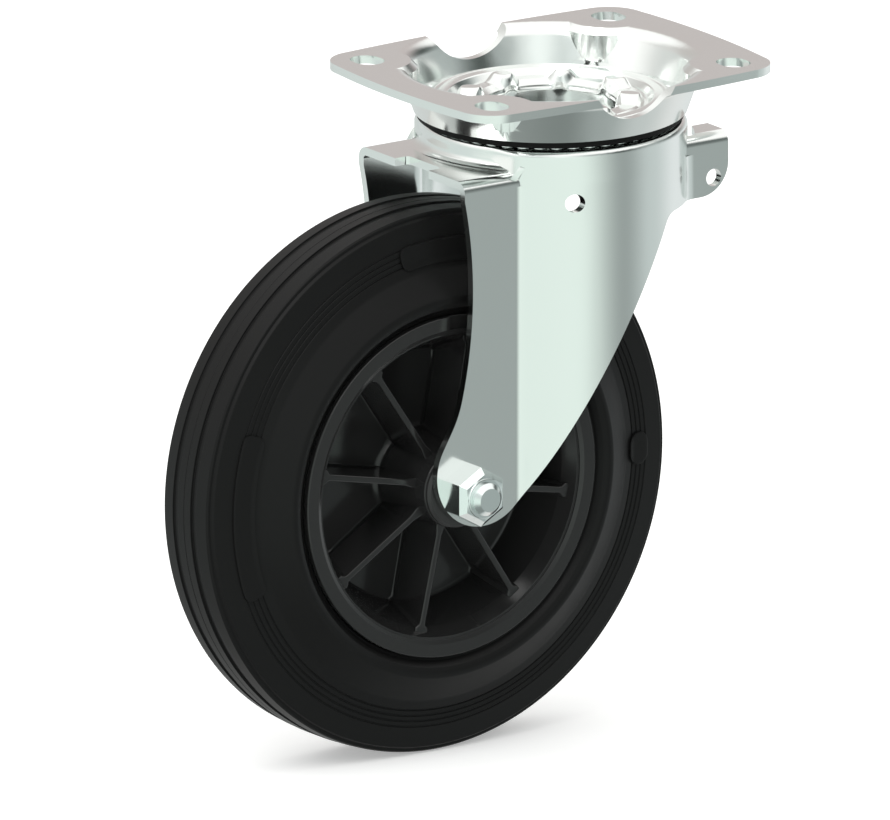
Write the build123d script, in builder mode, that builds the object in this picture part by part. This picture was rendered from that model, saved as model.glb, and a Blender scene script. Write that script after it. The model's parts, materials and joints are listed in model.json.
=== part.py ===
from build123d import *
import os
from math import acos, atan2, cos, degrees, hypot, radians, sin, sqrt, tan

# Swivel castor: a plain wheel in a pressed sheet fork that turns on two rows of balls under a top plate.
# Millimetres, +Z up the swivel axis, origin at the centre of the hole pattern on the plate's top face.
# +Y is the way it travels, so the wheel trails towards -Y. +X runs along the axle towards its nut.

# Sheet and bolt pattern of the top plate
SHEET = 3.0  # gauge of the plate and of the fork
SLOT_SPACING_X = 77.5
SLOT_SPACING_Y = 105.0
SLOT_WIDTH = 11.0
SLOT_LENGTH = 13.5
LOBE_R = 13.3  # corner of the plate, round each slot
SIDE_BOW = 2.2  # how far the long edges swell beyond the corners
END_BOW = 2.4

# Swivel bearing
BALL_D = 5.0
BALL_COUNT = 45
BALL_PITCH_R = 42.6
BALL_PLAY = 0.05  # between a ball and its groove
GROOVE_SIDES = 6  # flats of a groove's section, each one touching the ball's round
GROOVE_DEPTH = 0.85
LIP_GAUGE = 2.7  # the plate's lip, coined between the rows
LIP_REACH = 2.0  # the lip's edge inside the pitch circle
BALL_SIDE_GAP = 0.9  # between the upper balls and the bowl

# Bowl of the plate
BOWL_FLOOR = 16.5  # depth of the lip's top face
BOWL_CORNER = 0.6  # the bowl's rim below the lip's top face
BOWL_DRAFT = 19.65
BOWL_BEND = 6.2  # bend at the mouth, on the side that is seen from above
PAD_BEND = 4.8
WRENCH_R = 15.0  # room for a socket round each bolt
WRENCH_DEPTH = 13.4
BITE_R = 19.0  # the trimmed mouth at the middle of each long edge
BITE_DEPTH = 9.7

# Fork: crown, drum, legs and ears, one pressing
CROWN_DROP = 1.3  # the crown's flat below the centres of the lower balls
RIM_RISE = 0.4  # the crown's rim above those centres
NECK_WALL = 1.25  # rim left outside the lower groove at the rear
DRUM_STEP = 2.6  # the drum stands outside the rear neck by this
SHOULDER_R = 2.5
CROWN_INSET = 1.0  # from the groove to the crown's flat underside
REAR_DROP = 8.3  # rear flat below the rim
REAR_FILLET = 4.0
DRUM_REAR = -33.0  # the full drum begins here
LEG_OUT = 33.0  # half the width over the legs
BEND_R = 4.4
CREASE_REAR_R = 5.0
CREASE_FRONT_R = 8.0
FORK_REAR = -60.6
NOTCH_HALF = 10.4
NOTCH_DEPTH = 6.2
NOTCH_R = 1.8
HEM_Z = -49.5  # lower edge of the drum, in front
HEM_BLEND = 6.0
LEG_SLOPE = 60.0  # lean of the leg's front edge
LEG_WAIST = (-56.75, -74.0)
LEG_TOP_REAR = (-60.2, -35.5)
LEG_FLARE = (-63.0, -114.8)
FLARE_R = 40.0
LEG_END = (-52.3, -136.2)
LEG_END_R = 20.0
EAR_FRONT = 54.4
EAR_TOP = -26.7
EAR_CORNER_R = 12.0
EAR_FLANGE_IN = 20.0  # inner edge of the ear's top flange
EAR_FLANGE_FRONT = 56.0
EAR_CLEAR_R = 51.5  # the flange clears the drum's shoulder
EAR_HOLE_R = 3.2
EAR_HOLE = (48.0, -43.0)
SIDE_HOLE_R = 3.35
SIDE_HOLE = (-20.3, -39.6)
CUT_BELOW = 0.1  # the cut between crown and legs, below the rear flat's sheet

# Hollow king pin and the ring that it holds
PIN_BORE_R = 21.0
PIN_WALL = 3.0
RING_FIT = 0.05
RING_SEAT = 15.0  # depth of the ring's sunk top below the plate
RING_STEP = 3.0  # height of the ring's raised rim
RING_RIM_IN = 36.0
RING_BEVEL = 1.0
RING_LEAN = 0.5  # the ring's edge widens by this towards its top
LIP_OUT = 33.5  # outside of the crimp
LIP_LOW = 1.5  # crimp between the lobes
LOBES = 8
LOBE_PITCH_R = 29.5
CRIMP_LOBE_R = 5.4
LOBE_RISE = 3.0
LOBE_SIDES = 12
LOBE_ROUND = 1.4
SEAL_WIDTH = 2.4
SEAL_DROP = 2.4
SEAL_GAP = 0.2  # between the seal and the plate's lip

# Wheel
WHEEL_R = 100.0
WHEEL_WIDTH = 50.0
AXLE_Y = -59.5
AXLE_Z = -142.5
TREAD_HALF = 13.4  # to the edge of the shoulder
TREAD_DROP = 0.8  # the tread is lower at the shoulder than in the middle
TREAD_GROOVE = 0.8
TREAD_GROOVE_IN = 3.9
TREAD_GROOVE_OUT = 7.1
SHOULDER_ROUND = 1.6
CHEEK_X = 17.1  # foot of the sidewall, above its flare
CHEEK_HEIGHT = 17.6  # below the tread
RIDGE_X = 22.0  # crease of the flare
RIDGE_HEIGHT = 11.7  # above the rim's flange
BEAD_HEIGHT = 5.6  # widest place, above the rim's flange
BEAD_ROUND = 2.4
BEAD_COVER = 1.0  # the tyre's hold on the flange's edge
RIM_FACE = 23.7
FLANGE_OUT_R = 62.7
FLANGE_IN_R = 55.0
FLANGE_THICK = 3.2
WEB = 3.0
WEB_OUT_R = 46.5
RIM_WALL = 3.6
HUB_R = 17.0
HUB_END_R = 15.5
RIB = 2.2
RIBS = 8
RIB_PHASE = -11.25
RIB_OUT_X = 19.9
RIB_IN_X = 21.4

# Axle and roller bearing
BOLT_R = 6.0
BOLT_PLAY = 0.05
HEX_AF = 19.0
HEAD_H = 7.5
NUT_H = 10.0
COLLAR_H = 2.0
COLLAR_R = 7.3
BOLT_PROUD = 2.9
BOLT_CHAMFER = 1.7
HEX_CHAMFER = 1.2
COLLAR_CHAMFER = 0.8
INSERT_WALL = 0.6  # metal left round the locking ring
SLEEVE_R = 8.0
ROLLER_D = 3.0
ROLLER_PLAY = 0.03
ROLLERS = 12
ROLLER_SIDES = 12
ROLLER_LENGTH = 36.0
CAGE_GAUGE = 1.5
CAGE_BAND = 3.0
HUB_RING_R = 14.0
HUB_RING_H = 2.0
HUB_RING_SPIGOT = 3.5
END_PLAY = 0.5  # the wheel between the legs, each side

# Worked out from the sizes above
BALL_R = BALL_D / 2
GROOVE_R = BALL_R + BALL_PLAY
UPPER_Z = -BOWL_FLOOR - GROOVE_DEPTH + GROOVE_R
LOWER_Z = -BOWL_FLOOR - LIP_GAUGE + GROOVE_DEPTH - GROOVE_R
BOWL_LEAN = tan(radians(BOWL_DRAFT))
BOWL_WALL = SHEET / cos(radians(BOWL_DRAFT))
BOWL_LOW = BOWL_FLOOR + BOWL_CORNER
BOWL_IN_R = BALL_PITCH_R + BALL_R + BALL_SIDE_GAP
BOWL_OUT_R = BOWL_IN_R + BOWL_WALL
SEAL_IN_R = BOWL_IN_R + SEAL_GAP
CROWN_TOP = LOWER_Z - CROWN_DROP
RIM_TOP = LOWER_Z + RIM_RISE
NECK_R = BALL_PITCH_R + GROOVE_R + NECK_WALL
DRUM_R = NECK_R + DRUM_STEP
REAR_TOP = RIM_TOP - REAR_DROP
GROOVE_LOW = LOWER_Z - GROOVE_R
LEG_IN = LEG_OUT - SHEET
PIN_R = PIN_BORE_R + PIN_WALL
RACE_R = BALL_PITCH_R - GROOVE_R
SLEEVE_BORE_R = BOLT_R + BOLT_PLAY
ROLLER_PITCH_R = SLEEVE_R + ROLLER_PLAY + ROLLER_D / 2
HUB_BORE_R = ROLLER_PITCH_R + ROLLER_D / 2 + ROLLER_PLAY
HUB_HALF = LEG_IN - END_PLAY - HUB_RING_H
BELOW = AXLE_Z - WHEEL_R
ABOVE = 10.0  # tall enough to pass the plate's top face

AXLE = Axis((0, AXLE_Y, AXLE_Z), (1, 0, 0))
SECTION = Plane(origin=(0, AXLE_Y, AXLE_Z), x_dir=(1, 0, 0), z_dir=(0, -1, 0))
WHEEL = Plane(origin=(0, AXLE_Y, AXLE_Z), x_dir=(0, 1, 0), z_dir=(1, 0, 0))
SLOTS = GridLocations(SLOT_SPACING_X, SLOT_SPACING_Y, 2, 2)


def bowl_radius(depth, inset=0.0):
    """Radius of the bowl's cone at a depth below the plate's top, on its outside or further in."""
    return BOWL_OUT_R - inset + BOWL_LEAN * (BOWL_FLOOR - depth)


def touch_angle(point, centre, radius):
    """The angle round a circle at which a line from a point outside it touches it, the first one met."""
    away = (point[0] - centre[0], point[1] - centre[1])
    return degrees(atan2(away[1], away[0]) + acos(radius / hypot(*away))) % 360


# Top plate

with BuildPart() as plate_outline:
    with BuildSketch(Plane.XY.offset(-BOWL_LOW - SHEET)):
        with BuildLine():
            slot_x = SLOT_SPACING_X / 2
            slot_y = SLOT_SPACING_Y / 2
            side_x = slot_x + LOBE_R
            end_y = slot_y + LOBE_R
            ThreePointArc((side_x, -slot_y), (side_x + SIDE_BOW, 0), (side_x, slot_y))
            CenterArc((slot_x, slot_y), LOBE_R, 0, 90)
            ThreePointArc((slot_x, end_y), (0, end_y + END_BOW), (-slot_x, end_y))
            CenterArc((-slot_x, slot_y), LOBE_R, 90, 90)
            ThreePointArc((-side_x, slot_y), (-side_x - SIDE_BOW, 0), (-side_x, -slot_y))
            CenterArc((-slot_x, -slot_y), LOBE_R, 180, 90)
            ThreePointArc((-slot_x, -end_y), (0, -end_y - END_BOW), (slot_x, -end_y))
            CenterArc((slot_x, -slot_y), LOBE_R, 270, 90)
        make_face()
    extrude(amount=BOWL_LOW + SHEET)


def bowl_body(side, floor):
    """The bowl as a full round body down to a floor: side 0 is the sheet's upper face, SHEET its underside."""
    bend = BOWL_BEND - side
    lean = radians(BOWL_DRAFT)
    inset = (SHEET - side) / cos(lean)
    touch = BOWL_BEND * (1 - sin(lean))
    centre_r = bowl_radius(touch, BOWL_WALL) + BOWL_BEND * cos(lean)
    with BuildPart() as body:
        with BuildSketch(Plane.XZ):
            with BuildLine():
                bend_arc = CenterArc((centre_r, -BOWL_BEND), bend, 90, 90 - BOWL_DRAFT)
                Line(bend_arc @ 1, (bowl_radius(floor, inset), -floor))
                Polyline((bowl_radius(floor, inset), -floor), (0, -floor), (0, -side), bend_arc @ 0)
            make_face()
        revolve(axis=Axis.Z)
    return body.part


# A wrench pocket pushes a round pad into the bowl. This is one pad, before it is placed at each slot.
with BuildPart() as pad:
    with BuildSketch(Plane.XZ) as pad_section:
        with Locations(((WRENCH_R + SHEET) / 2, -(WRENCH_DEPTH + SHEET) / 2)):
            Rectangle(WRENCH_R + SHEET, WRENCH_DEPTH + SHEET)
        chamfer(pad_section.vertices().group_by(Axis.Y)[-1].sort_by(Axis.X)[-1], PAD_BEND / 2)
    revolve(axis=Axis.Z)

with BuildPart() as bowl_room:
    add(bowl_body(0, BOWL_FLOOR))
    with SLOTS:
        add(pad.part, mode=Mode.SUBTRACT)

with BuildPart() as top_plate:
    with BuildSketch():
        Circle(hypot(slot_x, slot_y) + 2 * LOBE_R)
    extrude(amount=-SHEET)
    add(bowl_body(SHEET, BOWL_LOW))
    with BuildSketch(Plane.XY.offset(-WRENCH_DEPTH)):
        with SLOTS:
            Circle(WRENCH_R)
    extrude(amount=WRENCH_DEPTH - SHEET, mode=Mode.SUBTRACT)
    add(bowl_room.part, mode=Mode.SUBTRACT)
    add(plate_outline.part, mode=Mode.INTERSECT)
    # Floor: open in the middle, and a groove for each row of balls.
    with BuildSketch(Plane.XZ):
        Polygon(
            (0, -BOWL_FLOOR),
            (BALL_PITCH_R - LIP_REACH, -BOWL_FLOOR),
            (BALL_PITCH_R - LIP_REACH, -BOWL_LOW),
            (0, -BOWL_LOW),
            align=None,
        )
    revolve(axis=Axis.Z, mode=Mode.SUBTRACT)
    with BuildSketch(Plane.XZ):
        Polygon(
            (BALL_PITCH_R - LIP_REACH, -BOWL_FLOOR),
            (BOWL_IN_R, -BOWL_FLOOR),
            (BOWL_IN_R, -BOWL_FLOOR - LIP_GAUGE),
            (BALL_PITCH_R - LIP_REACH, -BOWL_FLOOR - LIP_GAUGE),
            align=None,
        )
    revolve(axis=Axis.Z)
    with BuildSketch(Plane.XZ):
        with Locations((BALL_PITCH_R, UPPER_Z), (BALL_PITCH_R, LOWER_Z)):
            RegularPolygon(GROOVE_R, GROOVE_SIDES, major_radius=False)
    revolve(axis=Axis.Z, mode=Mode.SUBTRACT)
    # Bites at the middle of the long edges, where the bowl's mouth is wider than the plate.
    with BuildSketch(Plane.YZ):
        with Locations((0, BITE_R - BITE_DEPTH)):
            Circle(BITE_R)
    extrude(amount=side_x + 2 * SIDE_BOW, both=True, mode=Mode.SUBTRACT)
    with BuildSketch():
        with SLOTS:
            SlotOverall(SLOT_LENGTH, SLOT_WIDTH)
    extrude(amount=-SHEET, mode=Mode.SUBTRACT)


# A ball as the fourteen-sided solid whose corners lie on its round: a cube with its corners cut off.
with BuildPart() as ball:
    cube = BALL_D / sqrt(2)
    Box(cube, cube, cube)
    for turn in (45, 135, 225, 315):
        slab = Plane((0, 0, 0), z_dir=(cos(radians(turn)), sin(radians(turn)), 1 / sqrt(2)))
        with BuildSketch(slab):
            Rectangle(2 * BALL_D, 2 * BALL_D)
        extrude(amount=cube / sqrt(3), both=True, mode=Mode.INTERSECT)

with BuildPart() as upper_balls:
    with Locations((0, 0, UPPER_Z)):
        with PolarLocations(BALL_PITCH_R, BALL_COUNT):
            add(ball.part)

with BuildPart() as lower_balls:
    with Locations((0, 0, LOWER_Z)):
        with PolarLocations(BALL_PITCH_R, BALL_COUNT):
            add(ball.part)

# Upper race: a turned ring whose sunk top the crimp bears on and whose rim reaches over the balls.
with BuildPart() as king_ring:
    with BuildSketch(Plane.XZ):
        Polygon(
            (PIN_R + RING_FIT, CROWN_TOP),
            (RACE_R, CROWN_TOP),
            (RACE_R, UPPER_Z),
            (BALL_PITCH_R, UPPER_Z),
            (BALL_PITCH_R + RING_LEAN, -RING_SEAT + RING_STEP),
            (RING_RIM_IN + RING_BEVEL, -RING_SEAT + RING_STEP),
            (RING_RIM_IN - RING_BEVEL, -RING_SEAT),
            (PIN_R + RING_FIT, -RING_SEAT),
            align=None,
        )
        with Locations((BALL_PITCH_R, UPPER_Z)):
            RegularPolygon(GROOVE_R, GROOVE_SIDES, major_radius=False, mode=Mode.SUBTRACT)
    revolve(axis=Axis.Z)

with BuildPart() as dust_seal:
    with BuildSketch(Plane.XZ):
        Polygon(
            (SEAL_IN_R, -BOWL_LOW),
            (SEAL_IN_R + SEAL_WIDTH, -BOWL_LOW),
            (SEAL_IN_R + SEAL_WIDTH, -BOWL_LOW - SEAL_DROP / 2),
            (SEAL_IN_R + SEAL_WIDTH / 2, -BOWL_LOW - SEAL_DROP),
            (SEAL_IN_R, -BOWL_LOW - SEAL_DROP),
            align=None,
        )
    revolve(axis=Axis.Z)

# Fork


def plan(inset, back, front):
    """Plan of the pressing between two Y limits: the drum joined to the legs, or its inside."""
    with BuildSketch() as outline:
        Circle(DRUM_R - inset)
        with Locations((0, (back + front) / 2)):
            Rectangle(2 * (LEG_OUT - inset), front - back)
        creases = outline.vertices().filter_by(lambda v: hypot(v.X, v.Y) < DRUM_R + 1)
        fillet(creases.group_by(Axis.Y)[0], CREASE_REAR_R + inset)
        creases = outline.vertices().filter_by(
            lambda v: hypot(v.X, v.Y) < DRUM_R + 1 and v.Y > 0 and abs(v.X) < LEG_OUT + 1
        )
        fillet(creases.group_by(Axis.Y)[0], CREASE_FRONT_R + inset)
    return outline.sketch


def pressing(inset):
    """The fork's outside as a full body (inset 0), or the room inside its sheet (inset one gauge)."""
    rear_top = REAR_TOP - inset
    ear_top = EAR_TOP - inset
    half = LEG_OUT - inset
    bend = BEND_R - inset
    low = BELOW - inset
    back = LEG_END[0] - LEG_END_R - SHEET * (4 if inset else 1)
    front = EAR_FLANGE_FRONT + 4 * SHEET * (1 if inset else 0)
    with BuildPart() as body:
        with BuildSketch(Plane.XY.offset(low)):
            add(plan(inset, back, front))
        extrude(amount=rear_top - BEND_R - low)
        with BuildSketch(Plane.XZ) as rear_section:
            with Locations((0, (rear_top + low) / 2)):
                Rectangle(2 * half, rear_top - low)
            fillet(rear_section.vertices().group_by(Axis.Y)[-1], bend)
        extrude(amount=-back)
        with BuildSketch(Plane.XZ) as front_section:
            with Locations((0, (ear_top + low) / 2)):
                Rectangle(2 * half, ear_top - low)
            fillet(front_section.vertices().group_by(Axis.Y)[-1], bend)
        extrude(amount=-front)
    return body.part


def crown(inset):
    """The drum's top and the rear neck: outside (inset 0), or the room under the crown's sheet."""
    drum = DRUM_R - inset
    neck = NECK_R - inset
    top = RIM_TOP if inset == 0 else GROOVE_LOW - inset
    with BuildPart() as body:
        with BuildSketch(Plane.XZ) as drum_section:
            with Locations((drum / 2, (top + HEM_Z) / 2)):
                Rectangle(drum, top - HEM_Z)
            if inset == 0:
                fillet(drum_section.vertices().group_by(Axis.Y)[-1].sort_by(Axis.X)[-1], SHOULDER_R)
        revolve(axis=Axis.Z)
        with BuildSketch(Plane.XY.offset(HEM_Z)):
            with Locations((0, DRUM_REAR + inset - DRUM_R)):
                Rectangle(2 * DRUM_R, 2 * DRUM_R)
        extrude(amount=top - HEM_Z, mode=Mode.SUBTRACT)
        with BuildSketch(Plane.XZ) as neck_section:
            with Locations((neck / 2, (top + HEM_Z) / 2)):
                Rectangle(neck, top - HEM_Z)
        revolve(axis=Axis.Z)
    return body.part


with BuildPart() as side_view:
    with BuildSketch(Plane.YZ) as profile:
        with BuildLine():
            lean = radians(LEG_SLOPE)
            rear_turn = touch_angle(LEG_FLARE, LEG_END, LEG_END_R)
            heel = CenterArc(LEG_END, LEG_END_R, rear_turn, 270 + LEG_SLOPE - rear_turn)
            hem_y = (heel @ 1).X + (HEM_Z - (heel @ 1).Y) / tan(lean)
            Polyline((EAR_FRONT, ABOVE), (FORK_REAR, ABOVE), LEG_TOP_REAR)
            ThreePointArc(LEG_TOP_REAR, LEG_WAIST, LEG_FLARE)
            Line(LEG_FLARE, heel @ 0)
            Polyline(heel @ 1, (hem_y, HEM_Z), (EAR_FRONT, HEM_Z), (EAR_FRONT, ABOVE))
        make_face()
        for corner, radius in (
            ((hem_y, HEM_Z), HEM_BLEND),
            ((EAR_FRONT, HEM_Z), EAR_CORNER_R),
            (LEG_FLARE, FLARE_R),
        ):
            fillet(profile.vertices().sort_by_distance(corner)[0], radius)
    extrude(amount=DRUM_R + SHEET, both=True)

# The rear neck runs out into the rear flat.
with BuildPart() as neck_blend:
    with BuildSketch(Plane.XZ):
        with BuildLine():
            foot = (NECK_R + REAR_FILLET, REAR_TOP)
            head = (NECK_R, REAR_TOP + REAR_FILLET)
            Polyline(head, (NECK_R - 1, REAR_TOP + REAR_FILLET), (NECK_R - 1, REAR_TOP - 1))
            Polyline((NECK_R - 1, REAR_TOP - 1), (NECK_R + REAR_FILLET, REAR_TOP - 1), foot)
            CenterArc((NECK_R + REAR_FILLET, REAR_TOP + REAR_FILLET), REAR_FILLET, 180, 90)
        make_face()
    revolve(axis=Axis.Z)
    with BuildSketch(Plane.XY.offset(REAR_TOP - 1)):
        with Locations((0, DRUM_REAR - NECK_R / 2)):
            Rectangle(2 * (LEG_OUT - BEND_R), NECK_R)
    extrude(amount=REAR_FILLET + 1, mode=Mode.INTERSECT)

with BuildPart() as fork:
    add(pressing(0))
    add(crown(0))
    add(neck_blend.part)
    add(pressing(SHEET), mode=Mode.SUBTRACT)
    add(crown(SHEET), mode=Mode.SUBTRACT)
    # The flat of the crown has the sheet's own gauge inside the groove.
    with BuildSketch(Plane.XY.offset(HEM_Z)):
        Circle(RACE_R - CROWN_INSET)
    extrude(amount=CROWN_TOP - SHEET - HEM_Z, mode=Mode.SUBTRACT)
    # Ears: only a flange at each side, clear of the drum's shoulder.
    with BuildSketch(Plane.XY.offset(EAR_TOP - SHEET)):
        with Locations((0, EAR_FRONT)):
            Rectangle(2 * EAR_FLANGE_IN, 2 * EAR_FRONT)
        with BuildSketch(mode=Mode.PRIVATE) as gap:
            Circle(EAR_CLEAR_R)
            with Locations((0, EAR_FRONT)):
                Rectangle(2 * LEG_IN, 2 * EAR_FRONT, mode=Mode.INTERSECT)
        add(gap.sketch)
        Circle(DRUM_R, mode=Mode.SUBTRACT)
    extrude(amount=SHEET, mode=Mode.SUBTRACT)
    add(side_view.part, mode=Mode.INTERSECT)
    # Crown: a flat sunk inside the rim, with the lower balls' groove.
    with BuildSketch(Plane.XZ):
        Polygon((0, CROWN_TOP), (BALL_PITCH_R, CROWN_TOP), (BALL_PITCH_R, ABOVE), (0, ABOVE), align=None)
        with Locations((BALL_PITCH_R, LOWER_Z)):
            RegularPolygon(GROOVE_R, GROOVE_SIDES, major_radius=False)
    revolve(axis=Axis.Z, mode=Mode.SUBTRACT)
    # Hollow king pin, crimped outwards over the ring in a scalloped lip with a lobe at each pull.
    with BuildSketch(Plane.XY.offset(-RING_SEAT)):
        with PolarLocations(LOBE_PITCH_R, LOBES):
            RegularPolygon(CRIMP_LOBE_R, LOBE_SIDES)
    extrude(amount=LOBE_RISE)
    chamfer(fork.faces().filter_by(Axis.Z).group_by(Axis.Z)[-1].edges(), LOBE_ROUND)
    with BuildSketch(Plane.XZ):
        Polygon(
            (PIN_BORE_R - 1, CROWN_TOP - SHEET),
            (PIN_R, CROWN_TOP - SHEET),
            (PIN_R, -RING_SEAT),
            (LIP_OUT, -RING_SEAT),
            (LIP_OUT, -RING_SEAT + LIP_LOW / 2),
            (LIP_OUT - LIP_LOW, -RING_SEAT + LIP_LOW),
            (PIN_BORE_R + LIP_LOW, -RING_SEAT + LIP_LOW),
            (PIN_BORE_R - 1, -RING_SEAT - LIP_LOW),
            align=None,
        )
    revolve(axis=Axis.Z)
    with BuildSketch(Plane.XY.offset(HEM_Z)):
        Circle(PIN_BORE_R)
    extrude(amount=ABOVE - HEM_Z, mode=Mode.SUBTRACT)
    # Notch in the rear flat, and the holes through both sides.
    with BuildSketch(Plane.XY.offset(HEM_Z)) as notch:
        with Locations((0, FORK_REAR)):
            Rectangle(2 * NOTCH_HALF, 2 * NOTCH_DEPTH)
        fillet(notch.vertices().group_by(Axis.Y)[-1], NOTCH_R)
    extrude(amount=ABOVE - HEM_Z, mode=Mode.SUBTRACT)
    with BuildSketch(Plane.YZ):
        with Locations((AXLE_Y, AXLE_Z)):
            Circle(BOLT_R + BOLT_PLAY)
        with Locations(EAR_HOLE):
            Circle(EAR_HOLE_R)
        with Locations(SIDE_HOLE):
            Circle(SIDE_HOLE_R)
    extrude(amount=DRUM_R + SHEET, both=True, mode=Mode.SUBTRACT)

# The pressing is one real piece. It is kept as three nodes, the crown and two legs, which meet at a level cut
# under the rear flat, so that each is simple enough to collide in its own shape.
LEVEL_CUT = Plane.XY.offset(REAR_TOP - SHEET - CUT_BELOW)

with BuildPart() as fork_crown:
    add(fork.part)
    split(bisect_by=LEVEL_CUT, keep=Keep.TOP)

with BuildPart() as fork_leg_near:
    add(fork.part)
    split(bisect_by=LEVEL_CUT, keep=Keep.BOTTOM)
    split(bisect_by=Plane.YZ, keep=Keep.TOP)

with BuildPart() as fork_leg_far:
    add(fork.part)
    split(bisect_by=LEVEL_CUT, keep=Keep.BOTTOM)
    split(bisect_by=Plane.YZ, keep=Keep.BOTTOM)


# Wheel


def turned(points):
    """A body turned about the axle from its section: distance along the axle, then radius."""
    with BuildPart() as body:
        with BuildSketch(SECTION):
            Polygon(*points, align=None)
        revolve(axis=AXLE)
    return body.part


def both_ends(points):
    """A section given for one end only, carried on to the other end as its mirror image."""
    return list(points) + [(-x, r) for x, r in reversed(points)]


HALF_WEB = WEB / 2
BARREL_IN = (FLANGE_IN_R - WEB_OUT_R) / (RIM_FACE - HALF_WEB)  # taper of the barrel
SEAT = [
    (0, WEB_OUT_R + RIM_WALL),
    (RIM_FACE - FLANGE_THICK, FLANGE_IN_R + RIM_WALL - BARREL_IN * FLANGE_THICK),
    (RIM_FACE - FLANGE_THICK, FLANGE_OUT_R),
]  # where the tyre sits on the rim, from the middle to one flange

with BuildPart() as ribs:
    with BuildSketch(WHEEL.offset(HALF_WEB - 0.5)):
        with PolarLocations((HUB_BORE_R + FLANGE_IN_R + RIM_WALL / 2) / 2, RIBS, start_angle=RIB_PHASE):
            Rectangle(FLANGE_IN_R + RIM_WALL / 2 - HUB_BORE_R, RIB)
    extrude(amount=RIM_FACE - HALF_WEB)
    with BuildSketch(SECTION):
        Polygon(
            (0, HUB_BORE_R + 1.5),
            (RIB_IN_X, HUB_BORE_R + 1.5),
            (RIB_IN_X, HUB_END_R),
            (RIB_OUT_X, FLANGE_IN_R - BARREL_IN * (RIM_FACE - RIB_OUT_X) + RIM_WALL / 2),
            (0, WEB_OUT_R + RIM_WALL / 2),
            align=None,
        )
    revolve(axis=AXLE, mode=Mode.INTERSECT)

with BuildPart() as rim:
    with BuildSketch(SECTION):
        Polygon(
            *both_ends(
                (
                    (HUB_HALF, HUB_BORE_R),
                    (HUB_HALF, HUB_END_R - 1),
                    (HUB_HALF - 1, HUB_END_R),
                    (RIB_IN_X, HUB_END_R),
                    (HALF_WEB, HUB_R),
                    (HALF_WEB, WEB_OUT_R),
                    (RIM_FACE, FLANGE_IN_R),
                    (RIM_FACE, FLANGE_OUT_R),
                    *reversed(SEAT[1:]),
                    SEAT[0],
                )
            )[:-1],
            align=None,
        )
    revolve(axis=AXLE)
    add(ribs.part)
    add(mirror(ribs.part, about=Plane.YZ))

with BuildPart() as tyre:
    with BuildSketch(SECTION):
        Polygon(
            *both_ends(
                (
                    SEAT[0],
                    SEAT[1],
                    SEAT[2],
                    (RIM_FACE - FLANGE_THICK + BEAD_COVER, FLANGE_OUT_R),
                    (WHEEL_WIDTH / 2 - BEAD_ROUND / 3, FLANGE_OUT_R + BEAD_HEIGHT - BEAD_ROUND),
                    (WHEEL_WIDTH / 2, FLANGE_OUT_R + BEAD_HEIGHT),
                    (RIDGE_X, FLANGE_OUT_R + RIDGE_HEIGHT),
                    (CHEEK_X, WHEEL_R - CHEEK_HEIGHT),
                    (TREAD_HALF + SHOULDER_ROUND / 2, WHEEL_R - TREAD_DROP - SHOULDER_ROUND),
                    (TREAD_HALF, WHEEL_R - TREAD_DROP),
                    (TREAD_GROOVE_OUT, WHEEL_R),
                    (TREAD_GROOVE_OUT, WHEEL_R - TREAD_GROOVE),
                    (TREAD_GROOVE_IN, WHEEL_R - TREAD_GROOVE),
                    (TREAD_GROOVE_IN, WHEEL_R),
                )
            )[:-1],
            align=None,
        )
    revolve(axis=AXLE)


# Axle and bearing

with BuildPart() as axle_sleeve:
    add(turned([(-LEG_IN, SLEEVE_BORE_R), (LEG_IN, SLEEVE_BORE_R), (LEG_IN, SLEEVE_R), (-LEG_IN, SLEEVE_R)]))

with BuildPart() as rollers:
    with BuildSketch(WHEEL.offset(-ROLLER_LENGTH / 2)):
        with PolarLocations(ROLLER_PITCH_R, ROLLERS):
            RegularPolygon(ROLLER_D / 2, ROLLER_SIDES)
    extrude(amount=ROLLER_LENGTH)

with BuildPart() as roller_cage:
    cage_half = ROLLER_LENGTH / 2 + CAGE_BAND
    cage_in = ROLLER_PITCH_R - CAGE_GAUGE / 2
    cage_out = ROLLER_PITCH_R + CAGE_GAUGE / 2
    add(turned([(-cage_half, cage_in), (cage_half, cage_in), (cage_half, cage_out), (-cage_half, cage_out)]))
    with BuildSketch(WHEEL.offset(-ROLLER_LENGTH / 2 - ROLLER_PLAY)):
        with PolarLocations(ROLLER_PITCH_R, ROLLERS):
            Rectangle(3 * CAGE_GAUGE, ROLLER_D + 2 * ROLLER_PLAY)
    extrude(amount=ROLLER_LENGTH + 2 * ROLLER_PLAY, mode=Mode.SUBTRACT)


def hub_ring(end):
    """The dust ring that closes the hub's bore at one end: +1 the nut's end, -1 the head's."""
    face = HUB_HALF + HUB_RING_H
    bore = SLEEVE_R + BOLT_PLAY
    section = (
        (HUB_HALF - HUB_RING_SPIGOT, bore),
        (face, bore),
        (face, HUB_RING_R - 1),
        (face - 1, HUB_RING_R),
        (HUB_HALF, HUB_RING_R),
        (HUB_HALF, HUB_BORE_R),
        (HUB_HALF - HUB_RING_SPIGOT, HUB_BORE_R),
    )
    return turned([(end * x, r) for x, r in section])


with BuildPart() as hub_ring_near:
    add(hub_ring(1))

with BuildPart() as hub_ring_far:
    add(hub_ring(-1))

NUT_FACE = LEG_OUT + NUT_H
COLLAR_FACE = NUT_FACE + COLLAR_H
BOLT_END = COLLAR_FACE + BOLT_PROUD
HEX_CORNER_R = HEX_AF / sqrt(3)

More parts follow.
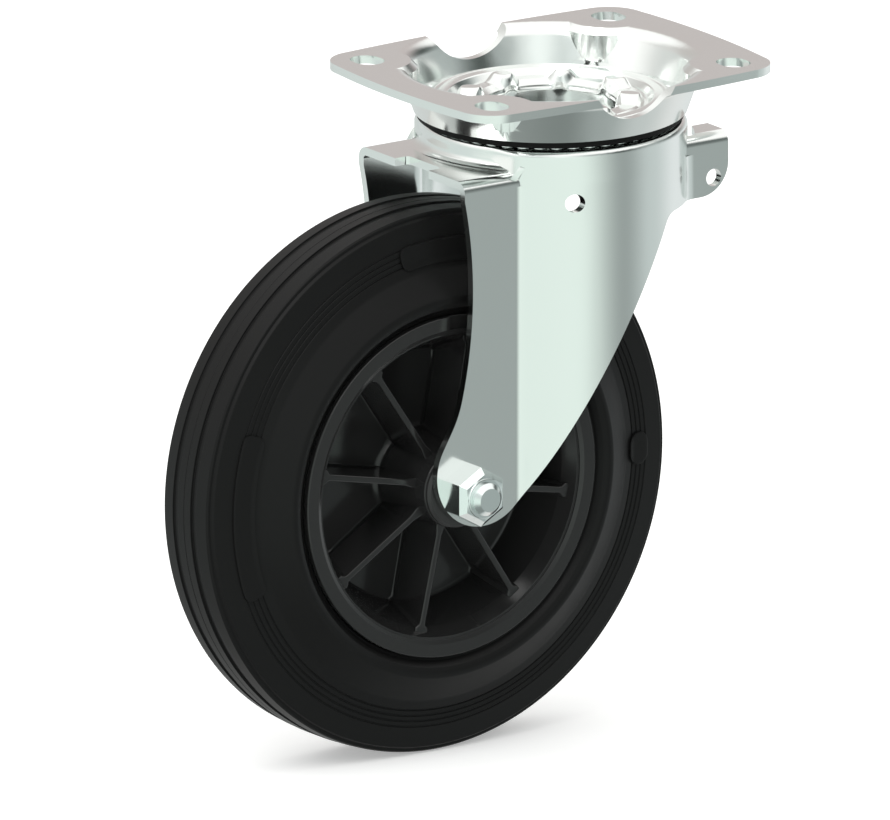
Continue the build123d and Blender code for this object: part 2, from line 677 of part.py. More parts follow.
with BuildPart() as axle_bolt:
    with BuildSketch(WHEEL.offset(-LEG_OUT - HEAD_H)):
        RegularPolygon(HEX_AF / 2, 6, major_radius=False)
    extrude(amount=HEAD_H)
    add(
        turned(
            [
                (-LEG_OUT - HEAD_H, 0),
                (-LEG_OUT, 0),
                (-LEG_OUT, HEX_CORNER_R + 1),
                (-LEG_OUT - HEAD_H + HEX_CHAMFER, HEX_CORNER_R + 1),
                (-LEG_OUT - HEAD_H, HEX_CORNER_R - 1.5 * HEX_CHAMFER),
            ]
        ),
        mode=Mode.INTERSECT,
    )
    add(
        turned(
            [
                (-LEG_OUT - 1, 0),
                (BOLT_END, 0),
                (BOLT_END, BOLT_R - BOLT_CHAMFER),
                (BOLT_END - BOLT_CHAMFER, BOLT_R),
                (-LEG_OUT - 1, BOLT_R),
            ]
        )
    )

INSERT_BACK = NUT_FACE - INSERT_WALL
INSERT_FACE = COLLAR_FACE - INSERT_WALL
INSERT_R = COLLAR_R - INSERT_WALL

with BuildPart() as nut_insert:
    add(
        turned(
            [
                (INSERT_BACK, BOLT_R),
                (INSERT_FACE, BOLT_R),
                (INSERT_FACE, INSERT_R),
                (INSERT_BACK, INSERT_R),
            ]
        )
    )

with BuildPart() as axle_nut:
    with BuildSketch(WHEEL.offset(LEG_OUT)):
        RegularPolygon(HEX_AF / 2, 6, major_radius=False)
    extrude(amount=NUT_H)
    add(
        turned(
            [
                (LEG_OUT, 0),
                (LEG_OUT, HEX_CORNER_R + 1),
                (NUT_FACE - HEX_CHAMFER, HEX_CORNER_R + 1),
                (NUT_FACE, HEX_CORNER_R - 1.5 * HEX_CHAMFER),
                (NUT_FACE, 0),
            ]
        ),
        mode=Mode.INTERSECT,
    )
    add(
        turned(
            [
                (NUT_FACE - 1, 0),
                (COLLAR_FACE, 0),
                (COLLAR_FACE, COLLAR_R - COLLAR_CHAMFER),
                (COLLAR_FACE - COLLAR_CHAMFER, COLLAR_R),
                (NUT_FACE - 1, COLLAR_R),
            ]
        )
    )
    add(nut_insert.part, mode=Mode.SUBTRACT)
    with BuildSketch(WHEEL.offset(LEG_OUT)):
        Circle(BOLT_R)
    extrude(amount=COLLAR_FACE - LEG_OUT, mode=Mode.SUBTRACT)


pieces = {
    "top_plate": top_plate,
    "upper_balls": upper_balls,
    "lower_balls": lower_balls,
    "king_ring": king_ring,
    "dust_seal": dust_seal,
    "fork_crown": fork_crown,
    "fork_leg_near": fork_leg_near,
    "fork_leg_far": fork_leg_far,
    "rim": rim,
    "tyre": tyre,
    "hub_ring_near": hub_ring_near,
    "hub_ring_far": hub_ring_far,
    "roller_cage": roller_cage,
    "rollers": rollers,
    "axle_sleeve": axle_sleeve,
    "axle_bolt": axle_bolt,
    "axle_nut": axle_nut,
    "nut_insert": nut_insert,
}
os.makedirs("parts", exist_ok=True)
for name, piece in pieces.items():
    piece.part.label = name
    export_step(piece.part, f"parts/{name}.step")
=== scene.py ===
"""Looks of a plate-mounted swivel castor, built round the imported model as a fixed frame.

Everything is in metres in the model's own frame: +Z up the swivel axis, +X along the axle towards its nut
and +Y the way the castor travels. The pressed pieces, the bolt and the inner parts keep the frame's exact
shape and get smooth faces. The moulded wheel, the balls, the upper ring, the crimp, the collar, the seal and
the nut are surfaces worked out here from a few sizes.
"""
import json
import logging
import math
from dataclasses import dataclass
from enum import Enum
from typing import Callable, Iterable, Sequence

import bmesh
import bpy
import numpy as np
from mathutils import Matrix, Vector

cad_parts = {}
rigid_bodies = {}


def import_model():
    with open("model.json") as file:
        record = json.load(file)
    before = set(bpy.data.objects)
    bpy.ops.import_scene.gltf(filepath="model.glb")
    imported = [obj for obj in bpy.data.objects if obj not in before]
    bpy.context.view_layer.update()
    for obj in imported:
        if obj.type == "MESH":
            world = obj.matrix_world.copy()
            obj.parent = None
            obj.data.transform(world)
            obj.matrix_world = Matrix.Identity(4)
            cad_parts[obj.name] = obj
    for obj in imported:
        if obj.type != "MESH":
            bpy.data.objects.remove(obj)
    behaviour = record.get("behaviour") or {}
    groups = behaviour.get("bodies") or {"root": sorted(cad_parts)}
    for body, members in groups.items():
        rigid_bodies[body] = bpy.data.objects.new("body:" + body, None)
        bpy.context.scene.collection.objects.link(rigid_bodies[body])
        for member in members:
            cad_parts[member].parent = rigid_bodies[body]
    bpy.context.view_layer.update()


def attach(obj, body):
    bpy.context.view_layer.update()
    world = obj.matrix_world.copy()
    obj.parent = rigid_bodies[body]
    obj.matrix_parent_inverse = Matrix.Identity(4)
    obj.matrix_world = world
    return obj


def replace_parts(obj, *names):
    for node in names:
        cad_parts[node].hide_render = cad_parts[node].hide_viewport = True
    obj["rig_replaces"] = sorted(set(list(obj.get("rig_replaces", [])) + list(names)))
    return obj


LOG = logging.getLogger("castor")
MM = 0.001

# The axle's place in millimetres, and how finely the wheel is turned about it, in degrees
AXLE_Y = -59.5
AXLE_Z = -142.5
WHEEL_STEP = 0.9

# How near points are merged in new surfaces and in copies of the frame's nodes, in metres
SKIN_MERGE = 0.0005 * MM
COPY_MERGE = 0.002 * MM

# A bend takes up this share of its shorter side at most; a line this near straight, in degrees, gets none
SIDE_SHARE = 0.48
STRAIGHT = 89.0

Colour = tuple[float, float, float]
Stops = tuple[tuple[float, Colour], ...]
Spot = tuple[float, float]
Corner = tuple[float, float, float]
Keep = Callable[[Vector], bool]


class Body(Enum):
    """The moving bodies that pieces ride on."""

    PLATE = "plate"
    FORK = "fork"
    WHEEL = "wheel"
    UPPER_ROW = "upper_row"
    LOWER_ROW = "lower_row"
    ROLLER_SET = "roller_set"


class Slot(Enum):
    """The record's material slots."""

    ZINC = "zinc_steel"
    BALL = "ball_steel"
    FASTENER = "bright_zinc_fastener"
    SEAL = "black_seal"
    RIM = "black_rim"
    TYRE = "black_tyre"
    POLYMER = "black_polymer"
    NYLON = "natural_nylon"


# Finishes


def shader_node(
    tree: bpy.types.NodeTree, kind: str, links: dict[str, bpy.types.NodeSocket], values: dict[str, float]
) -> bpy.types.Node:
    """Adds a shader node and fills its inputs.

    Args:
        tree: The node tree.
        kind: The node's type.
        links: The sockets that feed into it, by input.
        values: The constants set on it, by input.

    Returns:
        The node.
    """
    made = tree.nodes.new(kind)
    for name, socket in links.items():
        tree.links.new(socket, made.inputs[name])
    for name, value in values.items():
        made.inputs[name].default_value = value
    return made


@dataclass(frozen=True)
class Finish:
    """A surface finish: the record's slot for it, its shader's constants and its small unevenness."""

    name: str
    slot: Slot
    colour: Colour
    metallic: float = 0.0
    roughness: float = 0.5
    grain: float = 0.0
    grain_size: float = 400.0
    mottle: float = 0.0
    mottle_size: float = 60.0
    relief: float = 0.1 * MM
    coat: float = 0.0
    shine: float = 0.5

    def material(self) -> bpy.types.Material:
        """Builds the finish's node material.

        Returns:
            The material: a principled shader whose roughness and height vary over the piece.
        """
        made = bpy.data.materials.new(self.name)
        made.use_nodes = True
        tree = made.node_tree
        shader = tree.nodes["Principled BSDF"]
        shader.inputs["Base Color"].default_value = (*self.colour, 1.0)
        shader.inputs["Metallic"].default_value = self.metallic
        shader.inputs["Roughness"].default_value = self.roughness
        shader.inputs["Coat Weight"].default_value = self.coat
        shader.inputs["Specular IOR Level"].default_value = self.shine
        place = tree.nodes.new("ShaderNodeTexCoord").outputs["Object"]
        if self.mottle:
            noise = {"Scale": self.mottle_size, "Detail": 4.0}
            cloud = shader_node(tree, "ShaderNodeTexNoise", {"Vector": place}, noise)
            span = {"To Min": self.roughness - self.mottle, "To Max": self.roughness + self.mottle}
            spread = shader_node(tree, "ShaderNodeMapRange", {"Value": cloud.outputs["Fac"]}, span)
            tree.links.new(spread.outputs["Result"], shader.inputs["Roughness"])
        if self.grain:
            noise = {"Scale": self.grain_size, "Detail": 3.0}
            cloud = shader_node(tree, "ShaderNodeTexNoise", {"Vector": place}, noise)
            relief = {"Strength": self.grain, "Distance": self.relief}
            bump = shader_node(tree, "ShaderNodeBump", {"Height": cloud.outputs["Fac"]}, relief)
            tree.links.new(bump.outputs["Normal"], shader.inputs["Normal"])
        return made


@dataclass(frozen=True)
class Finishes:
    """Every finish of the castor."""

    zinc: Finish = Finish("zinc_plate", Slot.ZINC, (0.88, 0.90, 0.885), 1.0, 0.16, 0.02, 900.0, 0.02)
    ball: Finish = Finish("ball_polish", Slot.BALL, (0.80, 0.83, 0.82), 1.0, 0.08, 0.01, 900.0, 0.01)
    fastener: Finish = Finish("fastener_zinc", Slot.FASTENER, (0.86, 0.91, 0.9), 1.0, 0.2, 0.03, 1200.0, 0.03)
    seal: Finish = Finish("seal_rubber", Slot.SEAL, (0.004,) * 3, 0.0, 0.6, 0.1, 1500.0, 0.05, shine=0.15)
    rim: Finish = Finish("rim_moulding", Slot.RIM, (0.0155,) * 3, 0.0, 0.14, 0.02, 900.0, 0.03, shine=0.46)
    tyre: Finish = Finish("tyre_rubber", Slot.TYRE, (0.0072,) * 3, 0.0, 0.40, 0.06, 1200.0, 0.05, shine=0.14)
    polymer: Finish = Finish("polymer_moulding", Slot.POLYMER, (0.02,) * 3, 0.0, 0.45, 0.05, 900.0, 0.05)
    nylon: Finish = Finish("nylon_moulding", Slot.NYLON, (0.62, 0.62, 0.55), 0.0, 0.5, 0.03, 900.0, 0.04)


# Mesh tools


def smoothstep(low: float, high: float, value: np.ndarray) -> np.ndarray:
    """The even S-curve that is 0 up to one limit and 1 from the other."""
    share = np.clip((value - low) / (high - low), 0.0, 1.0)
    return share * share * (3.0 - 2.0 * share)


def rounded(corners: Sequence[Corner], steps: int = 5) -> np.ndarray:
    """Rounds the inner corners of an open line.

    Each corner with a radius becomes an arc that touches both of its sides. The arc starts and ends at the
    radius over the tangent of half the corner's angle, and no further than a set share of the shorter side.

    Args:
        corners: Points (across, along, radius of the corner); a radius of 0 keeps a corner sharp.
        steps: Pieces of each arc.

    Returns:
        The line's points, one row each.
    """
    spots = np.array([corner[:2] for corner in corners], dtype=float)
    parts = [spots[:1]]
    for index in range(1, len(corners) - 1):
        radius = corners[index][2]
        spot = spots[index]
        before, after = spots[index - 1] - spot, spots[index + 1] - spot
        reach = SIDE_SHARE * min(np.hypot(*before), np.hypot(*after))
        before, after = before / np.hypot(*before), after / np.hypot(*after)
        half = math.acos(float(np.clip(before @ after, -1.0, 1.0))) / 2.0
        if radius <= 0.0 or half > math.radians(STRAIGHT):
            parts.append(spot[None])
            continue
        cut = min(radius / math.tan(half), reach)
        # A weighted quadratic blend of both ends and the corner is a true arc when both sides are cut alike.
        share = np.linspace(0.0, 1.0, steps + 1)[:, None]
        weight = math.sin(half)
        first, last = (1.0 - share) ** 2, share**2
        middle = 2.0 * share * (1.0 - share) * weight
        blend = first * (spot + before * cut) + middle * spot + last * (spot + after * cut)
        parts.append(blend / (first + middle + last))
    parts.append(spots[-1:])
    return np.concatenate(parts)


def polar(radius: np.ndarray, angle: np.ndarray, height: np.ndarray) -> np.ndarray:
    """Gives the points (r cos t, r sin t, h), with the three coordinates last."""
    return np.stack(np.broadcast_arrays(radius * np.cos(angle), radius * np.sin(angle), height), axis=-1)


def round_axle(across: np.ndarray, radius: np.ndarray, angle: np.ndarray) -> np.ndarray:
    """Gives the points (x, y0 + r cos t, z0 + r sin t), where the axle passes through y0, z0."""
    return polar(radius, angle, across)[..., [2, 0, 1]] + (0.0, AXLE_Y, AXLE_Z)


def capped(grid: np.ndarray, axis: int) -> np.ndarray:
    """Closes both ends of a grid, each by one more line of points drawn together to that end's middle.

    Args:
        grid: The grid of points.
        axis: The axis that runs from one end to the other, 0 or 1.

    Returns:
        The grid, longer by two along the axis.
    """
    middle = np.broadcast_to(grid.mean(axis=1 - axis, keepdims=True), grid.shape)
    return np.concatenate((middle.take([0], axis), grid, middle.take([-1], axis)), axis=axis)


@dataclass
class Patch:
    """A grid of points, in rows and columns, that is joined up with four-sided faces."""

    points: np.ndarray
    wrap_rows: bool = False
    wrap_columns: bool = True

    def quads(self, first: int) -> np.ndarray:
        """Numbers the corners of the patch's faces.

        Args:
            first: The number of the patch's first point in the whole mesh.

        Returns:
            Four corner numbers for each face.
        """
        rows, columns = self.points.shape[:2]
        row = np.arange(rows if self.wrap_rows else rows - 1)[:, None]
        column = np.arange(columns if self.wrap_columns else columns - 1)[None, :]
        below, beside = (row + 1) % rows, (column + 1) % columns
        row, below = row * columns, below * columns
        corners = (row + column, row + beside, below + beside, below + column)
        return np.stack(corners, axis=-1).reshape(-1, 4) + first


def mesh_of(name: str, patches: Iterable[Patch], sharp: float) -> bpy.types.Mesh:
    """Joins patches, given in millimetres, into one closed mesh whose faces look outwards.

    Args:
        name: The mesh's name.
        patches: The grids of points.
        sharp: The angle in degrees above which an edge stays crisp.

    Returns:
        The mesh, in metres.
    """
    points: list[np.ndarray] = []
    quads: list[np.ndarray] = []
    count = 0
    for patch in patches:
        quads.append(patch.quads(count))
        points.append(patch.points.reshape(-1, 3))
        count += len(points[-1])
    places = np.concatenate(points) * MM
    faces = np.concatenate(quads)
    mesh = bpy.data.meshes.new(name)
    mesh.vertices.add(len(places))
    mesh.vertices.foreach_set("co", places.astype(np.float32).ravel())
    mesh.loops.add(faces.size)
    mesh.loops.foreach_set("vertex_index", faces.astype(np.int32).ravel())
    mesh.polygons.add(len(faces))
    mesh.polygons.foreach_set("loop_start", np.arange(0, faces.size, 4, dtype=np.int32))
    mesh.update(calc_edges=True)
    return tidied(mesh, sharp, SKIN_MERGE)


def tidied(mesh: bpy.types.Mesh, sharp: float, reach: float, keep: Keep | None = None) -> bpy.types.Mesh:
    """Merges doubles, turns faces outwards and marks which edges stay crisp.

    Args:
        mesh: The mesh, changed in place.
        sharp: The angle in degrees above which an edge stays crisp.
        reach: The distance within which points are merged, in metres.
        keep: Says from a face's middle whether the face stays; all stay without it.

    Returns:
        The same mesh.
    """
    cut = bmesh.new()
    cut.from_mesh(mesh)
    if keep is not None:
        gone = [face for face in cut.faces if not keep(face.calc_center_median())]
        bmesh.ops.delete(cut, geom=gone, context="FACES")
    bmesh.ops.remove_doubles(cut, verts=cut.verts, dist=reach)
    bmesh.ops.dissolve_degenerate(cut, edges=cut.edges, dist=reach / 10.0)
    if keep is None:
        bmesh.ops.recalc_face_normals(cut, faces=cut.faces)
    limit = math.radians(sharp)
    for edge in cut.edges:
        edge.smooth = len(edge.link_faces) == 2 and edge.calc_face_angle(0.0) < limit
    for face in cut.faces:
        face.smooth = True
    cut.to_mesh(mesh)
    cut.free()
    return mesh


def dress(mesh: bpy.types.Mesh, name: str, finish: Finish, body: Body, node: str) -> bpy.types.Object:
    """Makes a piece from a mesh and puts it on its body in place of one of the frame's nodes.

    Args:
        mesh: The piece's mesh.
        name: The piece's name.
        finish: The finish it gets.
        body: The body it rides on.
        node: The frame's node that it stands in for.

    Returns:
        The piece, with each face's normal weighted by its area.
    """
    made = bpy.data.objects.new(name, mesh)
    bpy.context.scene.collection.objects.link(made)
    mesh.materials.clear()
    mesh.materials.append(finish.material())
    weigh = made.modifiers.new("weighted", "WEIGHTED_NORMAL")
    weigh.keep_sharp = True
    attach(made, body.value)
    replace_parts(made, node)
    return made


def smooth_copy(
    node: str, finish: Finish, body: Body, sharp: float = 32.0, keep: Keep | None = None
) -> bpy.types.Object:
    """Stands a smooth-faced copy in place of one of the frame's nodes.

    Args:
        node: The node's name.
        finish: The finish it gets.
        body: The body it rides on.
        sharp: The angle in degrees above which an edge stays crisp.
        keep: Says from a face's middle whether the face stays.

    Returns:
        The copy.
    """
    mesh = tidied(bpy.data.objects[node].data.copy(), sharp, COPY_MERGE, keep)
    return dress(mesh, node + "_dressed", finish, body, node)


# Wheel


@dataclass(frozen=True)
class WheelSizes:
    """Sizes of the wheel in millimetres: distances along the axle from its middle, and radii from its axis.

    The lines of the shoulder, the bead and the gap hold each corner's offset along the axle, its offset in
    radius and its bend. The rib's foot and crest hold offsets in height and in half width. Each pad is its
    middle angle and half its span in degrees, and its corners' radius.
    """

    radius: float = 100.0
    seam: Spot = (0.3, 0.12)
    groove_in: float = 3.9
    groove_out: float = 7.1
    groove_depth: float = 0.8
    groove_slope: float = 0.15
    band_drop: float = 0.15
    tread_half: float = 13.4
    shoulder: tuple[Corner, ...] = ((-0.6, -0.6, 0.6), (0.0, -1.1, 0.4), (0.1, -2.1, 0.2))
    wall: tuple[Spot, ...] = ((14.7, 97.3), (16.3, 89.4), (17.0, 83.2), (18.4, 79.5))
    ridge: Spot = (21.8, 74.4)
    line_radii: tuple[float, ...] = (89.4, 87.3, 85.3, 83.2)
    line_width: float = 0.75
    line_depth: float = 0.32
    bead: Spot = (25.0, 68.0)
    bead_line: tuple[Corner, ...] = ((-0.35, 1.8, 3.0), (0.0, 0.0, 3.0), (-0.9, -2.0, 1.2))
    gap_line: tuple[Corner, ...] = ((-2.0, 1.3, 0.8), (-2.5, 0.25, 0.2))
    face: float = 23.7
    flange_back: float = 20.5
    flange_out: float = 62.7
    flange_in: float = 56.3
    flange_bevel: Spot = (0.7, 1.5)
    flange_step: float = 1.3
    flange_edge: float = 0.15
    seat_edge: float = 57.37
    seat_middle: float = 50.1
    web_half: float = 1.5
    web_out: float = 46.5
    barrel_out: float = 55.5
    barrel_bend: Spot = (17.2, 52.4)
    hub_half: float = 27.5
    hub_foot: float = 17.0
    hub_end: float = 14.4
    bore: float = 11.06
    rib_half: float = 1.25
    rib_count: int = 8
    rib_phase: float = -11.25
    rib_top_in: float = 21.4
    rib_top_out: float = 19.9
    rib_foot: tuple[Spot, ...] = ((-0.15, 1.3), (0.1, 0.55), (0.5, 0.2), (1.1, 0.05), (2.0, 0.0))
    rib_crest: tuple[Spot, ...] = ((-0.6, -0.05), (-0.3, -0.12), (-0.1, -0.35), (0.0, -0.65))
    rib_hub_spread: float = 0.7
    rib_hub_run: Spot = (0.03, 0.12)
    rib_wedge_spread: float = 1.5
    rib_wedge_run: Spot = (0.905, 0.95)
    rib_sink: Spot = (1.0, 1.2)
    notch: Spot = (82.7, 90.7)
    notch_edge: float = 0.15
    notch_in: float = 0.1
    notch_reach: float = 1.0
    notch_depth: float = 1.2
    pads: tuple[Corner, ...] = ((180.5, 20.5, 3.0), (90.0, 11.7, 3.0), (-0.3, 4.0, 6.0))
    pad_in: float = 81.6
    pad_out: float = 90.2
    pad_height: float = 0.9
    pad_root: float = -0.4
    pad_edge: tuple[Spot, ...] = ((0.0, 0.3), (0.08, 0.08), (0.3, 0.0))
    pad_points: int = 180


@dataclass(frozen=True)
class Wheel:
    """The wheel: tyre with its raised pads, and the ribbed centre."""

    sizes: WheelSizes
    finishes: Finishes

    def turned(self, half_line: np.ndarray, angles: np.ndarray) -> np.ndarray:
        """Turns a closed section about the axle, from the half of it that lies on the near side.

        Args:
            half_line: Points (along the axle, radius) from the middle plane out and back to it.
            angles: Angles in radians.

        Returns:
            A grid of points that closes on itself both ways.
        """
        mirrored = half_line[::-1][1:-1] * (-1.0, 1.0)
        line = np.concatenate((half_line, mirrored))
        return round_axle(line[:, 0][:, None], line[:, 1][:, None], angles[None, :])

    def wall_x(self, radius: np.ndarray) -> np.ndarray:
        """Finds how far out the tyre's straight side is at a radius."""
        wall = np.array(self.sizes.wall)[::-1]
        return np.interp(radius, wall[:, 1], wall[:, 0])

    def tyre_line(self) -> np.ndarray:
        """Draws the near half of the tyre's section.

        Returns:
            Points (along the axle, radius) from the middle of the tread to the middle of its seat.
        """
        sizes = self.sizes
        top, floor = sizes.radius, sizes.radius - sizes.groove_depth
        corners: list[Corner] = [
            (0.0, top - sizes.seam[1], 0.0),
            (sizes.seam[0], top, 0.1),
            (sizes.groove_in, top, 0.2),
            (sizes.groove_in + sizes.groove_slope, floor, 0.2),
            (sizes.groove_out - sizes.groove_slope, floor, 0.2),
            (sizes.groove_out, top - sizes.band_drop, 0.2),
        ]
        corners += [(sizes.tread_half + out, top + up, bend) for out, up, bend in sizes.shoulder]
        corners.append((*sizes.wall[0], 0.6))
        wide, narrow = sizes.line_width / 2, sizes.line_width / 5
        for radius in sizes.line_radii:
            for offset, depth in ((wide, 0.0), (narrow, 1.0), (-narrow, 1.0), (-wide, 0.0)):
                spot = radius + offset
                corners.append((float(self.wall_x(np.array(spot))) - depth * sizes.line_depth, spot, 0.0))
        corners += [(*sizes.wall[-1], 6.0), (*sizes.ridge, 1.2)]
        corners += [(sizes.bead[0] + out, sizes.bead[1] + up, bend) for out, up, bend in sizes.bead_line]
        corners += [(sizes.face + out, sizes.flange_out + up, bend) for out, up, bend in sizes.gap_line]
        corners += [
            (sizes.flange_back, sizes.flange_out, 0.0),
            (sizes.flange_back, sizes.seat_edge, 0.0),
            (0.0, sizes.seat_middle, 0.0),
        ]
        return rounded(corners)

    def pad(self, side: int, middle: float, half_span: float, round_to: float) -> Patch:
        """Raises one pad with rounded corners on the tyre's side.

        Its outline is a rounded rectangle in arc length and radius. Rings of it rise from under the tyre's
        skin to the pad's top and then shrink to the middle, so that the pad is a closed body.

        Args:
            side: 1 on the near side, -1 on the far side.
            middle: The pad's middle angle in degrees.
            half_span: Half its length in degrees.
            round_to: Radius of its corners, or more than half its height for round ends.

        Returns:
            The pad's grid.
        """
        sizes = self.sizes
        centre = (sizes.pad_in + sizes.pad_out) / 2
        half_length = centre * math.radians(half_span)
        half_height = (sizes.pad_out - sizes.pad_in) / 2
        turn = np.radians(np.linspace(0.0, 90.0, 9))

        def outline(inset: float) -> np.ndarray:
            """Draws the outline moved inwards, as evenly spaced points (along, up)."""
            corner = min(round_to, half_height) - inset
            room = np.array((half_length - inset - corner, half_height - inset - corner))
            spots = []
            for quarter, way in enumerate(((1, 1), (-1, 1), (-1, -1), (1, -1))):
                bend = turn + quarter * math.pi / 2
                spots.append(way * room + corner * np.stack((np.cos(bend), np.sin(bend)), axis=-1))
            loop = np.concatenate(spots + [spots[0][:1]])
            run = np.concatenate(([0.0], np.cumsum(np.hypot(*np.diff(loop, axis=0).T))))
            even = np.linspace(0.0, run[-1], sizes.pad_points, endpoint=False)
            return np.stack((np.interp(even, run, loop[:, 0]), np.interp(even, run, loop[:, 1])), axis=-1)

        high, top = sizes.pad_height, outline(sizes.pad_edge[-1][0])
        rings = [(outline(0.0) * share, sizes.pad_root) for share in (0.0, 0.5, 1.0)]
        rings += [(outline(inset), high - drop) for inset, drop in sizes.pad_edge]
        rings += [(top * share, high) for share in (0.85, 0.65, 0.45, 0.25, 0.1, 0.0)]
        flat = np.stack([ring for ring, _ in rings])
        lift = np.array([height for _, height in rings])[:, None]
        radius = centre + flat[..., 1]
        angle = math.radians(middle) + flat[..., 0] / centre
        return Patch(round_axle(side * (self.wall_x(radius) + lift), radius, angle))

    def rim_line(self) -> np.ndarray:
        """Draws the near half of the centre's section.

        Returns:
            Points (along the axle, radius) from the middle of its bore to the middle of its seat.
        """
        sizes = self.sizes
        step = sizes.face - sizes.flange_step
        bevel_in, bevel_out = sizes.face - sizes.flange_bevel[0], sizes.flange_in + sizes.flange_bevel[1]
        corners = [
            (0.0, sizes.bore, 0.0),
            (sizes.hub_half, sizes.bore, 0.3),
            (sizes.hub_half, sizes.hub_end, 0.8),
            (sizes.rib_top_in, sizes.hub_end, 1.5),
            (sizes.web_half, sizes.hub_foot, 3.0),
            (sizes.web_half, sizes.web_out, 1.6),
            (*sizes.barrel_bend, 0.5),
            (step, sizes.barrel_out, 0.15),
            (step, sizes.flange_in, 0.15),
            (bevel_in, sizes.flange_in, 0.15),
            (sizes.face, bevel_out, 0.2),
            (sizes.face, bevel_out + sizes.flange_edge, 0.0),
            (sizes.face, sizes.flange_out, 0.7),
            (sizes.flange_back, sizes.flange_out, 0.0),
            (sizes.flange_back, sizes.seat_edge, 0.0),
            (0.0, sizes.seat_middle, 0.0),
        ]
        return rounded(corners, steps=6)

    def rim_body(self) -> Patch:
        """Turns the centre's section and sinks the shallow notch in the flange's face.

        Returns:
            The centre's grid, without its ribs.
        """
        sizes = self.sizes
        start, end = sizes.notch
        start_to, end_from = start + sizes.notch_edge, end - sizes.notch_edge
        even = np.arange(0.0, 360.0, WHEEL_STEP)
        angles = np.sort(np.concatenate((even, [start, start_to, end_from, end])))
        grid = self.turned(self.rim_line(), np.radians(angles))
        radius = np.hypot(grid[..., 1] - AXLE_Y, grid[..., 2] - AXLE_Z)
        outside_bevel = radius > sizes.flange_in + sizes.flange_bevel[1] + sizes.notch_in
        on_face = outside_bevel & (np.abs(grid[..., 0]) > sizes.face - sizes.notch_reach)
        within = smoothstep(start, start_to, angles) - smoothstep(end_from, end, angles)
        grid[..., 0] -= np.sign(grid[..., 0]) * sizes.notch_depth * on_face * within
        return Patch(grid, wrap_rows=True)

    def rib(self, side: int, angle: float) -> Patch:
        """Raises one rib between the hub and the barrel.

        Its section across is a thin wall with a rounded top and a hollow curve at its foot. The section
        widens to a wedge where it meets the barrel and a little where it meets the hub, and it ends inside
        both.

        Args:
            side: 1 on the near side, -1 on the far side.
            angle: The rib's angle in degrees.

        Returns:
            The rib's grid, with both ends drawn together.
        """
        sizes = self.sizes
        near_hub, near_barrel = (0.0, 0.0, 0.03, 0.05, 0.08, 0.12), (0.88, 0.915, 0.93, 0.945, 0.96, 1.0, 1.0)
        run = np.array((*near_hub, 0.2, 0.35, 0.5, 0.65, 0.8, *near_barrel))
        spread = sizes.rib_hub_spread * (1.0 - smoothstep(*sizes.rib_hub_run, run))
        spread += sizes.rib_wedge_spread * smoothstep(*sizes.rib_wedge_run, run)
        top = sizes.rib_top_in + (sizes.rib_top_out - sizes.rib_top_in) * run
        foot, crest = np.array(sizes.rib_foot), np.array(sizes.rib_crest)
        foot_height = np.broadcast_to(sizes.web_half + foot[:, 0], (len(run), len(foot)))
        height = np.concatenate((foot_height, top[:, None] + crest[:, 0]), axis=1)
        half = sizes.rib_half + spread[:, None] + np.concatenate((foot[:, 1], crest[:, 1]))
        across = np.concatenate((-half, half[:, ::-1]), axis=1)
        height = np.concatenate((height, height[:, ::-1]), axis=1)
        hub = sizes.hub_foot + (sizes.hub_end - sizes.hub_foot) * height / sizes.rib_top_in
        barrel = np.interp(
            height,
            (sizes.web_half, sizes.barrel_bend[0], sizes.face - sizes.flange_step),
            (sizes.web_out, sizes.barrel_bend[1], sizes.barrel_out),
        )
        inner, outer = hub - sizes.rib_sink[0], barrel + sizes.rib_sink[1]
        radius = inner + (outer - inner) * run[:, None]
        ends = np.isin(np.arange(len(run)), (0, len(run) - 1))[:, None]
        across = np.where(ends, 0.0, across)
        height, radius = (np.where(ends, part.mean(axis=1, keepdims=True), part) for part in (height, radius))
        turn = math.radians(angle)
        along = AXLE_Y + radius * math.cos(turn) - across * math.sin(turn)
        up = AXLE_Z + radius * math.sin(turn) + across * math.cos(turn)
        return Patch(np.stack((side * height, along, up), axis=-1))

    def build(self) -> None:
        """Makes the tyre, the centre and the two dust rings."""
        sizes, finishes = self.sizes, self.finishes
        angles = np.radians(np.arange(0.0, 360.0, WHEEL_STEP))
        rib_angles = sizes.rib_phase + np.arange(sizes.rib_count) * 360.0 / sizes.rib_count
        tyre = [Patch(self.turned(self.tyre_line(), angles), wrap_rows=True)]
        rim = [self.rim_body()]
        for side in (1, -1):
            tyre += [self.pad(side, *pad) for pad in sizes.pads]
            rim += [self.rib(side, angle) for angle in rib_angles]
        dress(mesh_of("tyre_skin", tyre, 24.0), "tyre_skin", finishes.tyre, Body.WHEEL, "tyre")
        dress(mesh_of("rim_skin", rim, 30.0), "rim_skin", finishes.rim, Body.WHEEL, "rim")
        for node in ("hub_ring_near", "hub_ring_far"):
            smooth_copy(node, finishes.polymer, Body.WHEEL)


# Swivel head


